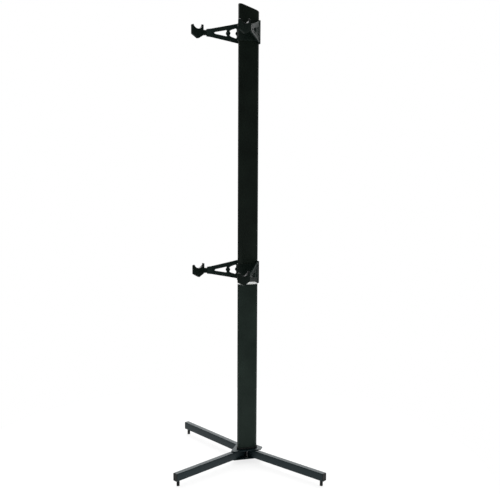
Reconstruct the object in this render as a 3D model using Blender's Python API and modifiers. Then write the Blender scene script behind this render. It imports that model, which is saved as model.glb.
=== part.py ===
"""Free-standing bike storage column: a tripod base, a rounded-triangular two-part column and
two sliding brackets, each with two hinged truss arms that end in tilting cradles.

Metres, +Z up, +X the way the front leg and the arms point. The floor is z = 0.
"""
import math

import bmesh
import bpy
from mathutils import Matrix

GAP = 0.0003            # seam between touching pieces
RUNNING = 0.0001        # radial clearance of a shaft that turns in its bore

# Column: three equal corner arcs joined by flat faces, one corner pointing to +X
CORNER_OFFSET = 0.0336
CORNER_RADIUS = 0.0194
COLUMN_WALL = 0.0025
COLUMN_FACE = CORNER_OFFSET / 2 + CORNER_RADIUS
COLUMN_JOINT_Z = 0.8862
JOINT_FLANGE = 0.0114
JOINT_SLEEVE_REACH = 0.060
JOINT_SLEEVE_WALL = 0.0030
COLUMN_APEX_Z = 2.1750
SLANT = math.tan(math.radians(23.5))
CAP_THICKNESS = 0.0037
CAP_PLUG_DEPTH = 0.012

# Base
LEG_WIDTH = 0.0260
LEG_HEIGHT = 0.0368
LEG_WALL = 0.0020
LEG_CORNER = 0.0030
LEG_BOTTOM_Z = 0.0267
LEG_START = 0.020
FRONT_LEG_REACH = 0.4563
SIDE_LEG_REACH = 0.4790
SIDE_LEG_ANGLE = 93.67
LEG_BOLT_AT = 0.034
LEG_BOLT_RADIUS = 0.0030
CENTRE_BOLT_RADIUS = 0.0050
END_CAP_FLANGE = 0.0030
END_CAP_PLUG = 0.0085
PLATE_THICKNESS = 0.0037
PLATE_EDGE = 0.054
PLATE_FRONT_CUT = 0.092
PLATE_REAR_CUT = 0.080
BOOT_HEIGHT = 0.0090
BOOT_WALL = 0.0024
FOOT_BLOCK_HEIGHT = 0.030
FOOT_INSET = 0.018
PAD_RADIUS = 0.0072
PAD_HEIGHT = 0.0180
STUD_RADIUS = 0.0040

# Brackets
BRACKET_HEIGHT = 0.0790
COLLAR_WALL = 0.0025
LOWER_BRACKET_Z = 0.9450
UPPER_BRACKET_DROP = 0.1220
UPPER_BRACKET_Z = COLUMN_APEX_Z - UPPER_BRACKET_DROP
PIN_X = -0.0198
PIN_Y = 0.0550
PIN_RADIUS = 0.0030
BARREL_RADIUS = 0.0060
CLAMP_BOSS_RADIUS = 0.0090
CLAMP_BOSS_LENGTH = 0.0100
CLAMP_SCREW_RADIUS = 0.0040
KNOB_GAP = 0.0030
KNOB_THICKNESS = 0.0140
KNOB_RADIUS = 0.0165
KNOB_LOBE = 0.0020

# Arms: u runs along the arm from its pin, v up from its mid-height
ARM_ANGLE = 31.76
ARM_THICKNESS = 0.0070
ARM_GROOVE = 0.0017
ARM_BOSS_THICKNESS = 0.0082
ARM_END = 0.1697
EYE_TOP = 0.0515
HUB_BOSS_U = 0.0220
HUB_BOSS_RADIUS = 0.0100
WEB_BOSS_U = 0.0670
WEB_BOSS_RADIUS = 0.0105
SOCKET_START = 0.1430
SOCKET_RADIUS = 0.0065
SPIGOT_RADIUS = 0.0040
SPIGOT_LENGTH = 0.0220
SET_SCREW_U = 0.1600
SET_SCREW_RADIUS = 0.0025

# Cradles: the head's plane holds +X and +Z, so it is turned back from the arm's direction
CRADLE_THICKNESS = 0.0122
NECK_HALF_HEIGHT = 0.0120
NECK_LENGTH = 0.0190
HEAD_INNER_X = 0.1379
HEAD_OUTER_X = 0.2058
HEAD_Y = 0.1524
HEAD_TIP_Z = 0.0318
NOTCH_X = 0.1709
NOTCH_BOTTOM = 0.0156
NOTCH_RADIUS = 0.0330
LINER_THICKNESS = 0.0018

FRONT_EXTENT = FRONT_LEG_REACH
REAR_EXTENT = COLUMN_FACE + GAP + COLLAR_WALL + CLAMP_BOSS_LENGTH + KNOB_GAP + KNOB_THICKNESS
COLUMN_X = (REAR_EXTENT - FRONT_EXTENT) / 2

PLATE_BOTTOM_Z = LEG_BOTTOM_Z - GAP - PLATE_THICKNESS
TOP_PLATE_Z = LEG_BOTTOM_Z + LEG_HEIGHT + GAP
COLUMN_BOTTOM_Z = TOP_PLATE_Z + PLATE_THICKNESS + GAP

# Shapes: meshes and how they are cut and joined


def new_object(name, mesh, collection=None):
    obj = bpy.data.objects.new(name, mesh)
    (collection or bpy.context.scene.collection).objects.link(obj)
    return obj


def evaluated(obj):
    """The object's mesh with its modifiers applied; the object itself is removed."""
    depsgraph = bpy.context.evaluated_depsgraph_get()
    mesh = bpy.data.meshes.new_from_object(obj.evaluated_get(depsgraph))
    bpy.data.objects.remove(obj)
    return mesh


def welded(mesh, flatten=False):
    """Merges doubled points and, if asked, the faces that lie in one plane."""
    bm = bmesh.new()
    bm.from_mesh(mesh)
    bmesh.ops.remove_doubles(bm, verts=bm.verts, dist=0.00001)
    if flatten:
        bmesh.ops.dissolve_limit(bm, angle_limit=math.radians(0.3), verts=bm.verts,
                                 edges=bm.edges, delimit=set())
    bmesh.ops.recalc_face_normals(bm, faces=bm.faces)
    bm.to_mesh(mesh)
    bm.free()
    return mesh


def arc(x, y, radius, start, end, steps):
    """Points on a circle from one angle to another, in degrees, both ends included."""
    turn = [math.radians(start + (end - start) * i / steps) for i in range(steps + 1)]
    return [(x + radius * math.cos(a), y + radius * math.sin(a)) for a in turn]


def circle(radius, steps=20, x=0.0, y=0.0):
    return arc(x, y, radius, 0, 360, steps)[:-1]


def rounded(points, radii, steps=2):
    """A closed outline through the points with each corner turned into an arc."""
    outline = []
    for i, (x, y) in enumerate(points):
        radius = radii[i] if isinstance(radii, (list, tuple)) else radii
        if radius <= 0:
            outline.append((x, y))
            continue
        ax, ay = points[i - 1]
        bx, by = points[(i + 1) % len(points)]
        la = math.hypot(ax - x, ay - y)
        lb = math.hypot(bx - x, by - y)
        ax, ay = (ax - x) / la, (ay - y) / la
        bx, by = (bx - x) / lb, (by - y) / lb
        half = math.acos(max(-1.0, min(1.0, ax * bx + ay * by))) / 2
        reach = radius / math.tan(half)
        middle = math.hypot(ax + bx, ay + by)
        cx = x + (ax + bx) / middle * radius / math.sin(half)
        cy = y + (ay + by) / middle * radius / math.sin(half)
        start = math.atan2(y + ay * reach - cy, x + ax * reach - cx)
        end = math.atan2(y + by * reach - cy, x + bx * reach - cx)
        sweep = (end - start + math.pi) % (2 * math.pi) - math.pi
        for k in range(steps + 1):
            a = start + sweep * k / steps
            outline.append((cx + radius * math.cos(a), cy + radius * math.sin(a)))
    return outline


def prism(outlines, low, high):
    """A flat outline and its holes, extruded along Z from one height to another."""
    curve = bpy.data.curves.new("outline", 'CURVE')
    curve.dimensions = '2D'
    curve.fill_mode = 'BOTH'
    curve.extrude = (high - low) / 2
    for points in outlines:
        spline = curve.splines.new('POLY')
        spline.points.add(len(points) - 1)
        for point, (x, y) in zip(spline.points, points):
            point.co = (x, y, 0, 1)
        spline.use_cyclic_u = True
    mesh = welded(evaluated(new_object("outline", curve)))
    bpy.data.curves.remove(curve)
    mesh.transform(Matrix.Translation((0, 0, (low + high) / 2)))
    return mesh


def cylinder(radius, low, high, sides=20):
    """A cylinder on the Z axis, built from a cone primitive with equal ends."""
    mesh = bpy.data.meshes.new("cylinder")
    bm = bmesh.new()
    middle = Matrix.Translation((0, 0, (low + high) / 2))
    bmesh.ops.create_cone(bm, cap_ends=True, segments=sides, radius1=radius, radius2=radius,
                          depth=high - low, matrix=middle)
    bm.to_mesh(mesh)
    bm.free()
    return mesh


def block(size, centre):
    mesh = bpy.data.meshes.new("block")
    bm = bmesh.new()
    bmesh.ops.create_cube(bm, size=1.0)
    bm.to_mesh(mesh)
    bm.free()
    mesh.transform(Matrix.Translation(centre) @ Matrix.Diagonal((*size, 1)))
    return mesh


def turned(profile, steps=20):
    """A profile of (radius, z) points, listed top to bottom, turned about Z."""
    mesh = bpy.data.meshes.new("profile")
    points = [(r, 0, z) for r, z in profile]
    mesh.from_pydata(points, [(i, i + 1) for i in range(len(points) - 1)], [])
    obj = new_object("profile", mesh)
    screw = obj.modifiers.new("turn", 'SCREW')
    screw.steps = steps
    screw.render_steps = steps
    screw.use_merge_vertices = True
    screw.merge_threshold = 0.00001
    return welded(evaluated(obj))


def bevelled(mesh, width, segments=1, angle=40):
    obj = new_object("bevelled", mesh)
    bevel = obj.modifiers.new("edges", 'BEVEL')
    bevel.width = width
    bevel.segments = segments
    bevel.limit_method = 'ANGLE'
    bevel.angle_limit = math.radians(angle)
    return evaluated(obj)


def combined(mesh, tools, operation):
    """The mesh joined with, or cut by, each of the tool meshes in turn."""
    target = new_object("target", mesh)
    used = []
    for tool_mesh in tools:
        tool = new_object("tool", tool_mesh)
        boolean = target.modifiers.new("boolean", 'BOOLEAN')
        boolean.operation = operation
        boolean.solver = 'EXACT'
        boolean.object = tool
        used.append(tool)
    result = welded(evaluated(target))
    for tool in used:
        bpy.data.objects.remove(tool)
    return result


def joined(mesh, tools):
    return combined(mesh, tools, 'UNION')


def cut(mesh, tools):
    return combined(mesh, tools, 'DIFFERENCE')


def moved(mesh, *steps):
    """A copy of the mesh after the given matrices, the last one first."""
    copy = mesh.copy()
    matrix = Matrix.Identity(4)
    for step in steps:
        matrix = matrix @ step
    copy.transform(matrix)
    return copy


def shift(x=0.0, y=0.0, z=0.0):
    return Matrix.Translation((x, y, z))


def turn(degrees, axis):
    return Matrix.Rotation(math.radians(degrees), 4, axis)


UPRIGHT = turn(90, 'X')                 # an outline's Y becomes Z
ALONG_X = turn(90, 'Y')                 # a length along Z becomes one along X
LEG_SECTION = ALONG_X @ turn(90, 'Z')   # an outline's Y becomes Z, its length X

# Materials


def material(name, colour, roughness, metallic=0.0):
    mat = bpy.data.materials.new(name)
    mat.use_nodes = True
    shader = mat.node_tree.nodes["Principled BSDF"]
    shader.inputs["Base Color"].default_value = (*colour, 1)
    shader.inputs["Roughness"].default_value = roughness
    shader.inputs["Metallic"].default_value = metallic
    return mat


def make_materials():
    return {
        "black_coat": material("black_coat", (0.018, 0.021, 0.020), 0.42),
        "column_coat": material("column_coat", (0.017, 0.020, 0.018), 0.38),
        "cast_coat": material("cast_coat", (0.024, 0.028, 0.028), 0.48),
        "nylon": material("nylon", (0.70, 0.71, 0.70), 0.45),
        "black_plastic": material("black_plastic", (0.014, 0.015, 0.015), 0.50),
        "rubber": material("rubber", (0.030, 0.032, 0.032), 0.75),
        "zinc_steel": material("zinc_steel", (0.55, 0.55, 0.53), 0.35, 1.0),
        "black_steel": material("black_steel", (0.030, 0.030, 0.031), 0.40, 1.0),
    }


MATERIALS = {}
PARTS = {}


def place(name, mesh, slot, parent=None, location=(0, 0, 0), rotation=0.0):
    """A named piece in the stand's collection, on its parent, turned about Z in degrees."""
    mesh = welded(mesh.copy() if mesh.users else mesh, flatten=True)
    mesh.name = name
    mesh.materials.clear()
    mesh.materials.append(MATERIALS[slot])
    mesh.shade_smooth()
    mesh.set_sharp_from_angle(angle=math.radians(35))
    obj = new_object(name, mesh, PARTS["collection"])
    obj.parent = parent or PARTS["stand"]
    obj.location = location
    obj.rotation_euler = (0, 0, math.radians(rotation))
    return obj

# Column


def column_outline(radius, steps=8):
    """The column's rounded triangle, with the given radius on its three corner arcs."""
    points = []
    for middle in (0, 120, 240):
        x = CORNER_OFFSET * math.cos(math.radians(middle))
        y = CORNER_OFFSET * math.sin(math.radians(middle))
        points += arc(x, y, radius, middle - 60, middle + 60, steps)
    return points


def slanted(mesh, above):
    """Lifts every point above a height by the slant's rise at its X."""
    for vertex in mesh.vertices:
        if vertex.co.z > above:
            vertex.co.z += vertex.co.x * SLANT
    return mesh


def make_column():
    tube = [column_outline(CORNER_RADIUS), column_outline(CORNER_RADIUS - COLUMN_WALL)]
    inside = CORNER_RADIUS - COLUMN_WALL - GAP
    apex_x = CORNER_OFFSET + CORNER_RADIUS
    slant_z = COLUMN_APEX_Z - apex_x * SLANT

    place("column_lower", prism(tube, COLUMN_BOTTOM_Z, COLUMN_JOINT_Z), "column_coat")

    flange_low = COLUMN_JOINT_Z + GAP
    flange_high = flange_low + JOINT_FLANGE
    bore = inside - JOINT_SLEEVE_WALL
    flange = prism([column_outline(CORNER_RADIUS), column_outline(inside - 0.0015)],
                   flange_low, flange_high)
    sleeve = prism([column_outline(inside), column_outline(bore)],
                   flange_low - JOINT_SLEEVE_REACH, flange_high + JOINT_SLEEVE_REACH)
    place("column_joint", joined(sleeve, [flange]), "nylon")

    upper_low = flange_high + GAP
    upper = slanted(prism(tube, upper_low, slant_z), upper_low + 0.1)
    place("column_upper", upper, "column_coat")

    plate = bevelled(prism([column_outline(CORNER_RADIUS)], 0, CAP_THICKNESS), 0.0014)
    plug = prism([column_outline(inside)], -CAP_PLUG_DEPTH, 0.001)
    cap = slanted(joined(plate, [plug]), -1.0)
    place("column_cap", cap, "black_plastic", location=(0, 0, slant_z + GAP))

    boot = bevelled(prism([column_outline(CORNER_RADIUS + GAP + BOOT_WALL)],
                          0, BOOT_HEIGHT), 0.0012)
    boot = cut(boot, [prism([column_outline(CORNER_RADIUS + GAP)], -0.01, BOOT_HEIGHT + 0.01)])
    place("column_boot", boot, "black_plastic", location=(0, 0, COLUMN_BOTTOM_Z))

    foot_block = prism([column_outline(inside), circle(CENTRE_BOLT_RADIUS + GAP)],
                       0, FOOT_BLOCK_HEIGHT)
    place("column_foot_block", foot_block, "cast_coat", location=(0, 0, COLUMN_BOTTOM_Z))

# Base

LEGS = {
    "front": (0.0, FRONT_LEG_REACH),
    "right": (SIDE_LEG_ANGLE, SIDE_LEG_REACH),
    "left": (-SIDE_LEG_ANGLE, SIDE_LEG_REACH),
}


def on_ray(angle, distance):
    a = math.radians(angle)
    return distance * math.cos(a), distance * math.sin(a)


def hub_outline():
    """A triangle parallel to the column's, with its three corners cut off square."""
    points = []
    for middle, reach in ((0, PLATE_FRONT_CUT), (120, PLATE_REAR_CUT), (240, PLATE_REAR_CUT)):
        half = (2 * PLATE_EDGE - reach) * math.tan(math.radians(30))
        a = math.radians(middle)
        for side in (-half, half):
            points.append((reach * math.cos(a) - side * math.sin(a),
                           reach * math.sin(a) + side * math.cos(a)))
    return rounded(points, 0.004)


def make_hub_plates():
    holes = [circle(CENTRE_BOLT_RADIUS + GAP, 16)]
    for angle, _ in LEGS.values():
        x, y = on_ray(angle, LEG_BOLT_AT)
        holes.append(circle(LEG_BOLT_RADIUS + GAP, 12, x, y))
    plate = prism([hub_outline()], 0, PLATE_THICKNESS)
    plate = bevelled(plate, 0.0006)
    drills = [prism([hole], -0.01, 0.01) for hole in holes]
    plate = cut(plate, drills)
    place("hub_plate_top", plate, "black_coat", location=(0, 0, TOP_PLATE_Z))
    place("hub_plate_bottom", plate, "black_coat", location=(0, 0, PLATE_BOTTOM_Z))


def button_bolt(radius, head_radius, head_height, length, socket):
    """A domed bolt pointing up, its head's underside at z = 0, with a hexagonal socket."""
    profile = [(0, length), (radius - 0.0006, length), (radius, length - 0.0006), (radius, 0),
               (head_radius, 0), (head_radius, -head_height * 0.45),
               (head_radius * 0.7, -head_height), (0, -head_height)]
    bolt = turned(profile, 16)
    return cut(bolt, [cylinder(socket, -head_height - 0.01, -head_height * 0.35, 6)])


def make_base_bolts():
    leg_bolt_top = TOP_PLATE_Z + PLATE_THICKNESS - 0.0005
    head_z = PLATE_BOTTOM_Z - GAP
    leg_bolt = button_bolt(LEG_BOLT_RADIUS, 0.0052, 0.0033, leg_bolt_top - head_z, 0.0023)
    for side, (angle, _) in LEGS.items():
        x, y = on_ray(angle, LEG_BOLT_AT)
        place("leg_bolt_" + side, leg_bolt, "black_steel", location=(x, y, head_z))
    centre_top = COLUMN_BOTTOM_Z + FOOT_BLOCK_HEIGHT - 0.004
    centre_bolt = button_bolt(CENTRE_BOLT_RADIUS, 0.0090, 0.0052, centre_top - head_z, 0.0035)
    place("centre_bolt", centre_bolt, "black_steel", location=(0, 0, head_z))


def leg_outline(inset):
    x = LEG_WIDTH / 2 - inset
    y = LEG_HEIGHT / 2 - inset
    corner = max(LEG_CORNER - inset, 0.0006)
    return rounded([(x, y), (-x, y), (-x, -y), (x, -y)], corner)


def make_leg(side, angle, reach):
    """A leg, its end cap and its levelling foot; the cap's outer face is at the reach."""
    tube_end = reach - END_CAP_FLANGE - GAP
    mid_z = LEG_BOTTOM_Z + LEG_HEIGHT / 2
    tube = prism([leg_outline(0), leg_outline(LEG_WALL)], LEG_START, tube_end)
    tube = moved(tube, LEG_SECTION)
    bolt_hole = moved(cylinder(LEG_BOLT_RADIUS + GAP, -0.03, 0.03, 12), shift(LEG_BOLT_AT))
    foot_hole = moved(cylinder(STUD_RADIUS + RUNNING, -0.03, 0),
                      shift(reach - FOOT_INSET))
    leg = cut(tube, [bolt_hole, foot_hole])
    place("leg_" + side, leg, "black_coat", location=(0, 0, mid_z), rotation=angle)

    flange = bevelled(prism([leg_outline(0)], 0, END_CAP_FLANGE), 0.0010)
    plug = prism([leg_outline(LEG_WALL + GAP)], -END_CAP_PLUG, 0.001)
    cap = moved(joined(flange, [plug]), LEG_SECTION)
    x, y = on_ray(angle, reach - END_CAP_FLANGE)
    place("leg_cap_" + side, cap, "black_plastic", location=(x, y, mid_z), rotation=angle)

    x, y = on_ray(angle, reach - FOOT_INSET)
    pad_low = 0.0015
    pad = [(0, PAD_HEIGHT), (0.0054, PAD_HEIGHT), (0.0062, PAD_HEIGHT - 0.0010),
           (0.0064, 0.0070), (PAD_RADIUS, 0.0050), (PAD_RADIUS, pad_low),
           (PAD_RADIUS - 0.0012, 0), (0, 0)]
    pad = cut(turned(pad), [cylinder(STUD_RADIUS + GAP, 0.006, 0.05, 16)])
    place("foot_pad_" + side, pad, "rubber", location=(x, y, 0))
    stud_low = 0.006 + GAP
    stud_high = LEG_BOTTOM_Z + 0.014
    stud = [(0, stud_high), (STUD_RADIUS - 0.0008, stud_high),
            (STUD_RADIUS, stud_high - 0.0008), (STUD_RADIUS, stud_low), (0, stud_low)]
    place("foot_stud_" + side, turned(stud), "zinc_steel", location=(x, y, 0))

# Brackets, their pins and their clamps


def make_bracket_mesh():
    """A collar round the column with two hinge barrels at the sides and a clamp boss behind."""
    half = BRACKET_HEIGHT / 2
    inner = CORNER_RADIUS + GAP
    collar = bevelled(prism([column_outline(inner + COLLAR_WALL)], -half, half), 0.0007)
    tools = []
    for side in (-1, 1):
        barrel = bevelled(cylinder(BARREL_RADIUS, -half, half, 16), 0.0006)
        tools.append(moved(barrel, shift(PIN_X, side * PIN_Y)))
        web = block((0.0100, 0.0120, BRACKET_HEIGHT - 0.003),
                    (PIN_X + 0.0008, side * (PIN_Y - 0.0070), 0))
        tools.append(web)
    back = COLUMN_FACE + GAP + COLLAR_WALL
    boss = bevelled(cylinder(CLAMP_BOSS_RADIUS, -CLAMP_BOSS_LENGTH, 0.0015), 0.0010)
    tools.append(moved(boss, shift(-back), ALONG_X))
    body = joined(collar, tools)
    drills = [prism([column_outline(inner)], -0.06, 0.06)]
    for side in (-1, 1):
        pin_bore = cylinder(PIN_RADIUS + RUNNING, -0.06, 0.06, 16)
        drills.append(moved(pin_bore, shift(PIN_X, side * PIN_Y)))
    screw_bore = cylinder(CLAMP_SCREW_RADIUS + RUNNING, -0.03, 0.006)
    drills.append(moved(screw_bore, shift(-back), ALONG_X))
    return cut(body, drills)


def make_pin_mesh():
    """A hinge pin with a low domed head on top and a turned groove for its clip below."""
    top = EYE_TOP + GAP
    bottom = -EYE_TOP - 0.0032
    groove = -EYE_TOP - GAP
    profile = [(0, top + 0.0022), (0.0028, top + 0.0022), (0.0048, top + 0.0012), (0.0052, top),
               (PIN_RADIUS, top), (PIN_RADIUS, groove - 0.0002),
               (PIN_RADIUS - 0.0006, groove - 0.0002), (PIN_RADIUS - 0.0006, groove - 0.0014),
               (PIN_RADIUS, groove - 0.0014), (PIN_RADIUS, bottom + 0.0005),
               (PIN_RADIUS - 0.0005, bottom), (0, bottom)]
    return turned(profile, 16)


def make_clip_mesh():
    """A snap ring with a slot on one side, seated in the pin's groove."""
    inner = PIN_RADIUS - 0.0006 + RUNNING
    points = arc(0, 0, 0.0050, 25, 335, 14) + arc(0, 0, inner, 320, 40, 12)
    return prism([points], -0.0005, 0.0005)


def make_knob_mesh():
    """A five-lobed clamping knob along +Z, its face at z = 0, with a blind threaded bore."""
    outline = []
    for i in range(30):
        a = 2 * math.pi * i / 30
        r = KNOB_RADIUS + KNOB_LOBE * math.cos(5 * a)
        outline.append((r * math.cos(a), r * math.sin(a)))
    star = bevelled(prism([outline], 0.0020, KNOB_THICKNESS), 0.0022)
    hub = cylinder(0.0080, 0, 0.0040)
    bore = cylinder(CLAMP_SCREW_RADIUS + GAP, -0.01, KNOB_THICKNESS - 0.004, 16)
    return cut(joined(star, [hub]), [bore])


def make_bracket(name, z):
    bracket = place("bracket_" + name, PARTS["bracket_mesh"], "cast_coat", location=(0, 0, z))
    for side, sign in (("right", 1), ("left", -1)):
        at = (PIN_X, sign * PIN_Y, 0)
        place(f"hinge_pin_{name}_{side}", PARTS["pin_mesh"], "zinc_steel", bracket, at)
        groove_z = -EYE_TOP - GAP - 0.0008
        place(f"pin_clip_{name}_{side}", PARTS["clip_mesh"], "black_steel", bracket,
              (PIN_X, sign * PIN_Y, groove_z), 180)
    back = -(COLUMN_FACE + GAP + COLLAR_WALL + CLAMP_BOSS_LENGTH + KNOB_GAP)
    knob = moved(PARTS["knob_mesh"], turn(-90, 'Y'))
    place("clamp_knob_" + name, knob, "black_plastic", bracket, (back, 0, 0))
    screw_tip = -(COLUMN_FACE + GAP)
    length = screw_tip - back + KNOB_THICKNESS - 0.004 - GAP
    screw = [(0, 0), (CLAMP_SCREW_RADIUS - 0.0008, 0), (CLAMP_SCREW_RADIUS, -0.0008),
             (CLAMP_SCREW_RADIUS, -length), (0, -length)]
    screw = moved(turned(screw), turn(90, 'Y'))
    place("clamp_screw_" + name, screw, "zinc_steel", bracket, (screw_tip, 0, 0))
    return bracket

# Arms


def chord_top(u):
    """Height of the arm's upper edge at a distance from its pin."""
    stations = ((0.0, 0.0495), (0.033, 0.0425), (0.061, 0.0365), (0.108, 0.0270),
                (0.146, 0.0195), (0.165, 0.0170), (ARM_END, 0.0165))
    for (u0, v0), (u1, v1) in zip(stations, stations[1:]):
        if u <= u1:
            return v0 + (v1 - v0) * (u - u0) / (u1 - u0)
    return stations[-1][1]


def mirrored_outline(upper):
    """A closed outline from its upper half, listed from the pin outwards."""
    return upper + [(u, -v) for u, v in reversed(upper)]


def arm_outline():
    slot_u = BARREL_RADIUS + 0.0016
    slot_v = BRACKET_HEIGHT / 2 + 2 * GAP
    edge = [(0, chord_top(0)), (0.033, chord_top(0.033)), (0.061, chord_top(0.061)),
            (0.108, chord_top(0.108)), (0.146, chord_top(0.146)), (0.165, chord_top(0.165)),
            (ARM_END - 0.0005, chord_top(ARM_END))]
    edge += [(u, -v) for u, v in reversed(edge)]
    return edge + [(0, -slot_v), (slot_u, -slot_v), (slot_u, slot_v), (0, slot_v)]


def front_window():
    """The long window that narrows to a round end near the arm's tip."""
    half = [(0.0735, 0.0143), (0.0780, 0.0133), (0.1270, 0.0043), (0.1325, 0.0014)]
    points = mirrored_outline(half)
    return rounded(points, [0.0018, 0, 0, 0.0010, 0.0010, 0, 0, 0.0018])


def root_window():
    """The wide window between the two bosses, with chamfered corners."""
    half = [(0.0262, 0.0185), (0.0300, 0.0225), (0.0330, 0.0220), (0.0520, 0.0157),
            (0.0575, 0.0125), (0.0605, 0.0085)]
    points = mirrored_outline(half)
    return rounded(points, [0.002, 0.002, 0, 0, 0, 0, 0, 0, 0, 0, 0.002, 0.002])


def chord_groove():
    """The sunk strip along the upper chord that leaves a rim on both of its edges."""
    rim = 0.0034
    top = [(u, chord_top(u) - rim) for u in (0.0130, 0.033, 0.061, 0.108, 0.138)]
    low = [(0.138, 0.0105), (0.1290, 0.0043 + rim), (0.0780, 0.0133 + rim),
           (0.0600, 0.0165 + rim), (0.0520, 0.0157 + rim + 0.001), (0.0330, 0.0222 + rim),
           (0.0180, 0.0265), (0.0130, 0.0290)]
    radii = [0.002, 0, 0, 0, 0.002, 0.001, 0.001, 0, 0, 0, 0, 0, 0.002]
    return rounded(top + low, radii)


def make_arm_mesh():
    """A truss arm: two grooved chords, two bossed webs, pin eyes and a bored round socket."""
    half = ARM_THICKNESS / 2
    plate = prism([arm_outline()], -half, half)
    windows = [prism([front_window()], -0.02, 0.02), prism([root_window()], -0.02, 0.02)]
    grooves = []
    for face in (-1, 1):
        for flip in (-1, 1):
            outline = [(u, flip * v) for u, v in chord_groove()]
            low, high = sorted((face * (half - ARM_GROOVE), face * 0.02))
            grooves.append(prism([outline], low, high))
    plate = cut(plate, windows + grooves)
    plate = moved(plate, UPRIGHT)

    boss_half = ARM_BOSS_THICKNESS / 2
    additions = []
    for u, radius in ((HUB_BOSS_U, HUB_BOSS_RADIUS), (WEB_BOSS_U, WEB_BOSS_RADIUS)):
        boss = cylinder(radius, -boss_half, boss_half)
        additions.append(moved(boss, shift(u), UPRIGHT))
    socket = bevelled(cylinder(SOCKET_RADIUS, SOCKET_START, ARM_END, 16), 0.0012)
    additions.append(moved(socket, ALONG_X))
    for sign in (-1, 1):
        low = BRACKET_HEIGHT / 2 + GAP
        eye = cylinder(BARREL_RADIUS, min(sign * low, sign * EYE_TOP),
                       max(sign * low, sign * EYE_TOP), 16)
        additions.append(eye)
    arm = joined(plate, additions)

    drills = [cylinder(PIN_RADIUS + RUNNING, -0.06, 0.06, 16)]
    spigot_bore = cylinder(SPIGOT_RADIUS + RUNNING, ARM_END - SPIGOT_LENGTH - 0.001,
                           ARM_END + 0.01)
    drills.append(moved(spigot_bore, ALONG_X))
    drills.append(moved(cylinder(SET_SCREW_RADIUS + GAP, -0.03, 0, 12), shift(SET_SCREW_U)))
    for u in (HUB_BOSS_U, WEB_BOSS_U):
        for face in (-1, 1):
            dish = cylinder(0.0050, boss_half - 0.0010, boss_half + 0.01, 12)
            drills.append(moved(dish, shift(u), turn(90 * face, 'X')))
    return cut(arm, drills)


def make_set_screw_mesh():
    """A socket set screw, its tip up at z = 0."""
    length = 0.0095
    profile = [(0, 0), (0.0016, 0), (SET_SCREW_RADIUS, -0.0008), (SET_SCREW_RADIUS, -length),
               (0, -length)]
    socket = cylinder(0.0013, -length - 0.01, -length + 0.0025, 6)
    return cut(turned(profile, 12), [socket])

# Cradles


def notch_arc(radius, top_z, steps=14):
    """The notch's floor, right to left, as an arc about its centre that ends at one height."""
    centre_z = NOTCH_BOTTOM + NOTCH_RADIUS
    spread = math.degrees(math.asin((centre_z - top_z) / radius))
    return arc(NOTCH_X, centre_z, radius, -spread, -180 + spread, steps)


def head_outline():
    """The head's outline in its own plane: x as in the stand, z from the arm's mid-height."""
    floor = notch_arc(NOTCH_RADIUS + LINER_THICKNESS + GAP, HEAD_TIP_Z)
    chamfer = [(HEAD_OUTER_X, HEAD_TIP_Z - 0.0015), (HEAD_OUTER_X - 0.0021, HEAD_TIP_Z)]
    inner = [(HEAD_INNER_X, HEAD_TIP_Z)]
    low = rounded([(HEAD_INNER_X, -0.0120), (NOTCH_X + 0.0003, -0.0289), (HEAD_OUTER_X, -0.0098)]
                  + [(HEAD_OUTER_X, 0.02), (HEAD_INNER_X, 0.02)], [0.003, 0.006, 0.003, 0, 0])[:-2]
    return chamfer + floor + inner + low


def liner_outline():
    """A strip along the notch whose two ends cap the prongs and lean in as lips."""
    cap_z = HEAD_TIP_Z + GAP
    inside = notch_arc(NOTCH_RADIUS, cap_z - 0.0008)
    outside = notch_arc(NOTCH_RADIUS + LINER_THICKNESS, cap_z)[::-1]
    left = [(inside[-1][0] + 0.0021, cap_z + 0.0037), (HEAD_INNER_X + 0.0038, cap_z + 0.0037),
            (HEAD_INNER_X, cap_z + 0.0019), (HEAD_INNER_X, cap_z)]
    right = [(HEAD_OUTER_X - 0.0025, cap_z), (HEAD_OUTER_X - 0.0049, cap_z + 0.0017),
             (inside[0][0] - 0.0021, cap_z + 0.0017)]
    return inside + left + outside + right


def make_cradle_meshes(sign):
    """The cradle and its liner for one side, in the arm's frame with the neck from x = 0."""
    neck_x = (ARM_END + GAP) * math.cos(math.radians(ARM_ANGLE)) + PIN_X
    neck_y = (ARM_END + GAP) * math.sin(math.radians(ARM_ANGLE)) + PIN_Y
    to_arm = turn(-sign * ARM_ANGLE, 'Z') @ shift(-neck_x, -sign * neck_y)
    half = CRADLE_THICKNESS / 2
    head = bevelled(prism([head_outline()], -half, half), 0.0009)
    head = moved(head, to_arm, shift(0, sign * HEAD_Y), UPRIGHT)
    neck = block((NECK_LENGTH, CRADLE_THICKNESS - 0.0010, 2 * NECK_HALF_HEIGHT),
                 (NECK_LENGTH / 2, 0, 0))
    neck = bevelled(neck, 0.0015)
    spigot = moved(bevelled(cylinder(SPIGOT_RADIUS, -SPIGOT_LENGTH, 0.004), 0.0005),
                   ALONG_X)
    cradle = joined(head, [neck, spigot])

    liner = prism([liner_outline()], -half + 0.0004, half - 0.0004)
    peg = moved(cylinder(0.0020, -0.0040, 0.0010, 12),
                shift(NOTCH_X, NOTCH_BOTTOM - LINER_THICKNESS), turn(-90, 'X'))
    liner = joined(liner, [peg])
    liner = moved(liner, to_arm, shift(0, sign * HEAD_Y), UPRIGHT)
    peg_hole = moved(cylinder(0.0020 + GAP, -0.0040 - GAP, 0.0030, 12), to_arm,
                     shift(NOTCH_X, sign * HEAD_Y, NOTCH_BOTTOM - LINER_THICKNESS))
    return cut(cradle, [peg_hole]), liner


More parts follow.
